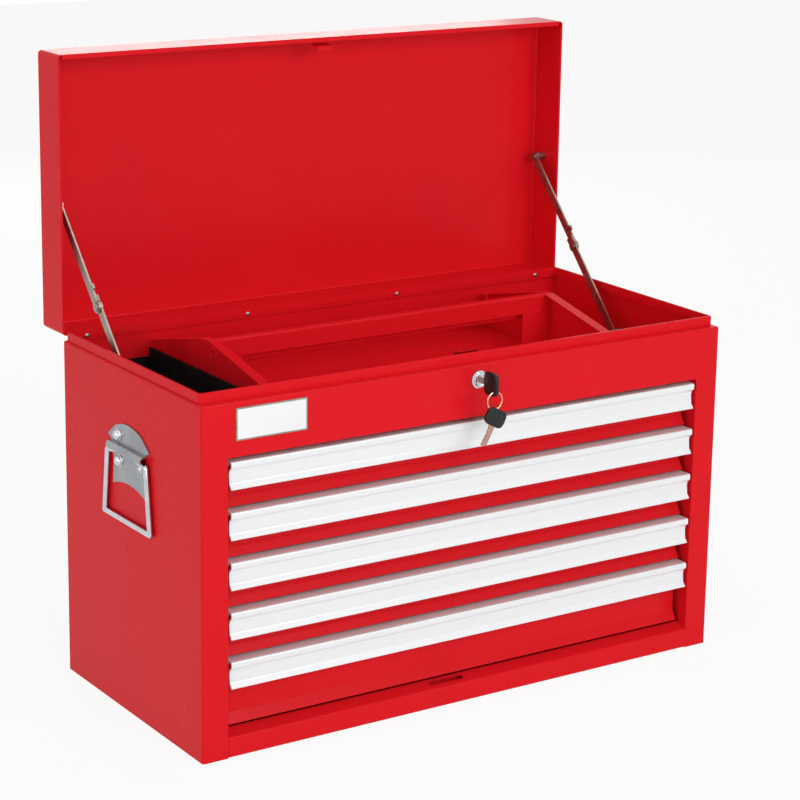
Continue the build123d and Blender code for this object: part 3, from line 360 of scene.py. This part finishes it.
def add_badge():
    """The bare plate at the left of the front, in a thin grey frame."""
    from_left = 79.8
    drop = 23.0
    width = 82.5
    height = 34.0
    thickness = 0.9
    bevel = 0.3
    corner = 1.2
    border = 1.7
    face_seat = 0.95
    face_thickness = 0.35
    face_bevel = 0.15
    face_corner = 0.8
    corner_steps = 6
    low, _ = corners("front_frame")
    middle = Vector((low.x + from_left, low.y, LEDGE_Z - drop))
    badge = bmesh.new()
    outline = rounded_outline(width, height, corner, corner_steps)
    slab(badge, outline, softened(thickness, bevel), middle, ACROSS, UP)
    finish_piece(badge, "badge_frame", ZINC, "cabinet")
    face = bmesh.new()
    outline = rounded_outline(width - 2 * border, height - 2 * border, face_corner, corner_steps)
    middle += face_seat * thickness * Vector(FRONT)
    slab(face, outline, softened(face_thickness, face_bevel), middle, ACROSS, UP)
    finish_piece(face, "badge_face", PLATE, "cabinet")


def add_hinge_rivets():
    """Rivets that hold the hinge's leaf, on the inside of the back collar."""
    count = 4
    pitch = 200.0
    first_x = -304.0
    collar_in = 5.5
    drop = 7.0
    head = dome(RIVET_RADIUS, 1.3)
    rivets = bmesh.new()
    for index in range(count):
        spot = (first_x + index * pitch, RIM_HIGH.y - collar_in, RIM_HIGH.z - drop)
        lathe(rivets, head, spot, FRONT, RIVET_STEPS)
    finish_piece(rivets, "hinge_rivets", ZINC, "cabinet")


def add_tray_rivets():
    """Rivets of the tote tray's handle, in the gables and in the handle's plate."""
    sheet = 1.0
    end_inset = 20.0
    gable_spots = ((10.4, 6.5), (4.4, 15.5))
    plate_drops = (46.5, 19.5)
    _, tray_high = corners("tote_tray")
    handle_low, _ = corners("tote_handle")
    rivets = bmesh.new()
    for _, sign in SIDES:
        for from_handle, drop in gable_spots:
            spot = Vector((sign * tray_high.x, handle_low.y - from_handle, tray_high.z - drop))
            lathe(rivets, RIVET, spot, (sign, 0, 0), RIVET_STEPS)
            lathe(rivets, RIVET, spot - Vector((sign * sheet, 0, 0)), (-sign, 0, 0), RIVET_STEPS)
        for drop in plate_drops:
            spot = (sign * (tray_high.x - end_inset), handle_low.y, tray_high.z - drop)
            lathe(rivets, RIVET, spot, FRONT, RIVET_STEPS)
    finish_piece(rivets, "tray_rivets", RED, "cabinet")


def add_handle_bolts(side, sign):
    """Dome heads on the plate of a side handle: two large to the rear, one small to the front."""
    plate = 1.6
    collar = 1.1
    collar_bevel = 0.4
    dome_gap = 0.2
    steps = 28
    # For each bolt: place along the side, rise over the bail's axis, radius and height of the dome
    bolt_rows = ((23.0, 13.2, 6.0, 4.4), (21.0, -14.2, 6.0, 4.4), (-28.0, -10.4, 3.2, 2.2))
    panel_low, panel_high = corners(f"{side}_side_panel")
    bail_low, bail_high = corners(f"{side}_handle_bail")
    rod_radius = (bail_high.x - bail_low.x) / 2
    axis_z = bail_high.z - rod_radius
    face_x = sign * (max(abs(panel_low.x), abs(panel_high.x)) + plate)
    bolts = bmesh.new()
    for y, rise, radius, height in bolt_rows:
        rim = radius + collar
        profile = [
            (rim, 0),
            (rim, 0.6 * collar),
            (rim - collar_bevel, 0.9 * collar),
            (radius + dome_gap, collar),
        ]
        profile += dome(radius, height, collar)
        lathe(bolts, profile, (face_x, y, axis_z + rise), (sign, 0, 0), steps)
    finish_piece(bolts, f"{side}_handle_bolts", CHROME, "cabinet")


def add_bail(side):
    """The swinging bar of a side handle, bent from one round rod."""
    top_half = 47.5
    foot_half = 57.0
    bend = 6.5
    end_gap = 1.0
    low, high = corners(f"{side}_handle_bail")
    radius = (high.x - low.x) / 2
    x = (low.x + high.x) / 2
    top = high.z - radius
    foot = low.z + radius
    corner_points = (
        (x, -end_gap, top),
        (x, -top_half, top),
        (x, -foot_half, foot),
        (x, foot_half, foot),
        (x, top_half, top),
        (x, end_gap, top),
    )
    bar = bmesh.new()
    tube(bar, filleted(corner_points, bend), radius, ACROSS)
    piece = finish_piece(bar, f"{side}_bail_bar", CHROME, f"{side}_bail")
    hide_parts(f"{side}_handle_bail")


def lock_centre():
    """Middle of the lock's face."""
    low, high = corners("lock_housing")
    return Vector(((low.x + high.x) / 2, low.y, (low.z + high.z) / 2))


def add_lock_ring():
    """The raised ring round the plug."""
    steps = 40
    # Radius and height over the lock's face
    profile = ((7.6, 0), (7.6, 0.35), (7.2, 0.6), (6.2, 0.6), (5.8, 0.35), (5.8, 0))
    centre = lock_centre()
    ring = bmesh.new()
    rings = []
    for radius, height in profile:
        middle = centre + height * Vector(FRONT)
        rings.append(circle(ring, middle, Vector(ACROSS), Vector(UP), radius, steps))
    for lower, upper in zip(rings, rings[1:]):
        bridge(ring, lower, upper)
    bridge(ring, rings[-1], rings[0])
    finish_piece(ring, "lock_face_ring", CHROME, "cabinet")


# The two keys are cut alike
BLADE_HEIGHT = 7.2
BLADE_THICKNESS = 1.9
BLADE_ROOT = 1
BLADE_LAYERS = ((-0.5, 0.93), (-0.25, 1), (0.25, 1), (0.5, 0.93))
CUTS = (0, 0, 0.9, 0.4, 1.6, 0.8, 1.2, 0.3, 1.0, 0)
HEAD_LAYERS = pillow(4.0, 0.7)
HEAD_CORNER_STEPS = 2


def blade(bm, root, along, up, length):
    """A key's blade with cuts along one edge and a blunt tip."""
    along = Vector(along).normalized()
    up = Vector(up).normalized()
    out = along.cross(up)
    half = BLADE_HEIGHT / 2
    outline = [(length * index / (len(CUTS) - 1), cut - half) for index, cut in enumerate(CUTS)]
    outline += [(length, -0.2 * half), (length - 0.6 * half, half), (0, half)]
    rings = []
    for offset, scale in BLADE_LAYERS:
        shift = out * offset * BLADE_THICKNESS
        rings.append([bm.verts.new(Vector(root) + along * x + up * y * scale + shift) for x, y in outline])
    shell(bm, rings)


def add_key():
    """The key in the lock: a moulded head over a cut blade."""
    length = 26.0
    shank = 8.4
    corner = 5.0
    inward = (0, 1, 0)
    low, high = corners("key")
    centre = lock_centre()
    head_back = centre.y - shank
    middle = Vector((centre.x, (low.y + head_back) / 2, (low.z + high.z) / 2))
    outline = rounded_outline(head_back - low.y, high.z - low.z, corner, HEAD_CORNER_STEPS)
    head = bmesh.new()
    slab(head, outline, HEAD_LAYERS, middle, inward, UP)
    piece = finish_piece(head, "key_head", KEY_BLACK, "lock")
    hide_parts("key")
    steel = bmesh.new()
    blade(steel, (centre.x, head_back - BLADE_ROOT, centre.z), inward, UP, length)
    finish_piece(steel, "key_blade", BLADE_RED_REFLECTION, "lock")


def add_spare_key():
    """A second key that hangs from the ring by a corner of its head."""
    tilt = math.radians(28)
    width = 25.0
    height = 19.0
    corner = 5.5
    length = 24.0
    wire = 1.2
    hole_rise = 7.8
    hole_side = 5.5
    low, high = corners("key_ring")
    down = Vector((-math.sin(tilt), 0, -math.cos(tilt)))
    across = Vector((math.cos(tilt), 0, -math.sin(tilt)))
    hang = Vector(((low.x + high.x) / 2, (low.y + high.y) / 2, low.z + wire))
    middle = hang + down * hole_rise + across * hole_side
    outline = rounded_outline(width, height, corner, HEAD_CORNER_STEPS)
    head = bmesh.new()
    slab(head, outline, HEAD_LAYERS, middle, across, -down)
    finish_piece(head, "spare_key_head", KEY_BLACK, "key_ring")
    steel = bmesh.new()
    blade(steel, middle + down * (height / 2 - BLADE_ROOT), down, across, length)
    finish_piece(steel, "spare_key_blade", BLADE_RED_REFLECTION, "key_ring")


dress_nodes()
add_badge()
add_hinge_rivets()
add_tray_rivets()
add_lock_ring()
add_key()
add_spare_key()
for side, sign in SIDES:
    add_handle_bolts(side, sign)
    add_bail(side)


# Floor, backdrop, light and camera


def seen_share(tree, share):
    """A share that counts only for what the camera, a reflection or a clear body sees."""
    path = tree.nodes.new("ShaderNodeLightPath")
    value = path.outputs["Is Camera Ray"]
    for name in ("Is Glossy Ray", "Is Transmission Ray"):
        either = tree.nodes.new("ShaderNodeMath")
        either.operation = "MAXIMUM"
        tree.links.new(value, either.inputs[0])
        tree.links.new(path.outputs[name], either.inputs[1])
        value = either.outputs["Value"]
    part = tree.nodes.new("ShaderNodeMath")
    part.operation = "MULTIPLY"
    part.inputs[1].default_value = share
    tree.links.new(value, part.inputs[0])
    return part.outputs["Value"]


def add_floor():
    """A pale floor that reads as white and keeps the chest's shadow."""
    half_width = 6.0
    glow_share = 0.9
    material, tree, bsdf = shader("pale_floor")
    bsdf.inputs["Base Color"].default_value = (*grey(0.93), 1)
    bsdf.inputs["Roughness"].default_value = 0.8
    bsdf.inputs["Specular IOR Level"].default_value = 0.1
    glow = tree.nodes.new("ShaderNodeEmission")
    mix = tree.nodes.new("ShaderNodeMixShader")
    tree.links.new(seen_share(tree, glow_share), mix.inputs["Fac"])
    tree.links.new(bsdf.outputs["BSDF"], mix.inputs[1])
    tree.links.new(glow.outputs["Emission"], mix.inputs[2])
    tree.links.new(mix.outputs["Shader"], tree.nodes["Material Output"].inputs["Surface"])
    bm = bmesh.new()
    bmesh.ops.create_grid(bm, x_segments=8, y_segments=8, size=half_width)
    mesh = bpy.data.meshes.new("floor")
    bm.to_mesh(mesh)
    bm.free()
    mesh.materials.append(material)
    floor = bpy.data.objects.new("floor", mesh)
    bpy.context.scene.collection.objects.link(floor)


def add_world():
    """A grey studio that reads as white where it is seen."""
    ambient_strength = 0.36
    white_colour = (*grey(1), 1)
    world = bpy.data.worlds.new("studio")
    bpy.context.scene.world = world
    world.use_nodes = True
    tree = world.node_tree
    ambient = tree.nodes["Background"]
    ambient.inputs["Color"].default_value = white_colour
    ambient.inputs["Strength"].default_value = ambient_strength
    white = tree.nodes.new("ShaderNodeBackground")
    white.inputs["Color"].default_value = white_colour
    mix = tree.nodes.new("ShaderNodeMixShader")
    tree.links.new(seen_share(tree, 1.0), mix.inputs["Fac"])
    tree.links.new(ambient.outputs["Background"], mix.inputs[1])
    tree.links.new(white.outputs["Background"], mix.inputs[2])
    tree.links.new(mix.outputs["Shader"], tree.nodes["World Output"].inputs["Surface"])


CHEST_MIDDLE = Vector((0, 0.03, 0.33))
# For each softbox: name, place, width, height and power
SOFTBOXES = (
    ("key_light", (0.5, -3.0, 1.6), 1.8, 1.4, 42),
    ("fill_light", (-1.6, -2.6, 0.8), 1.4, 1.2, 12),
    ("top_light", (0.2, -0.2, 2.6), 2.0, 1.6, 12),
    ("side_light", (-2.8, -0.2, 1.0), 1.4, 1.6, 17),
    ("back_light", (1.2, 2.8, 1.2), 1.6, 1.4, 16),
)


def add_softbox(name, place, width, height, power):
    """A large soft light that faces the chest."""
    data = bpy.data.lights.new(name, "AREA")
    data.shape = "RECTANGLE"
    data.size = width
    data.size_y = height
    data.energy = power
    lamp = bpy.data.objects.new(name, data)
    lamp.location = place
    aim = CHEST_MIDDLE - Vector(place)
    lamp.rotation_euler = aim.to_track_quat("-Z", "Y").to_euler()
    bpy.context.scene.collection.objects.link(lamp)


def add_camera():
    """The photograph's viewpoint, for a square picture."""
    picture_pixels = 800.0
    focal_pixels = 2477.0
    shift_pixels = -60.0
    sensor = 36.0
    distance = 2.721
    target = Vector((0.0032, 0.0, 0.3681))
    azimuth = math.radians(-33.55)
    elevation = math.radians(14.21)
    roll = math.radians(0.89)
    level = math.cos(elevation)
    back = Vector((math.sin(azimuth) * level, -math.cos(azimuth) * level, math.sin(elevation)))
    level_right = (-back).cross(Vector((0, 0, 1))).normalized()
    level_up = level_right.cross(-back)
    right = math.cos(roll) * level_right + math.sin(roll) * level_up
    up = math.cos(roll) * level_up - math.sin(roll) * level_right
    data = bpy.data.cameras.new("camera")
    data.sensor_width = sensor
    data.lens = focal_pixels / picture_pixels * sensor
    data.shift_y = shift_pixels / picture_pixels
    data.clip_end = 50.0
    camera = bpy.data.objects.new("camera", data)
    bpy.context.scene.collection.objects.link(camera)
    turned = Matrix((right, up, back)).transposed().to_4x4()
    camera.matrix_world = Matrix.Translation(target + back * distance) @ turned
    bpy.context.scene.camera = camera


add_floor()
add_world()
for softbox in SOFTBOXES:
    add_softbox(*softbox)
add_camera()
bpy.context.scene.view_settings.view_transform = "Standard"
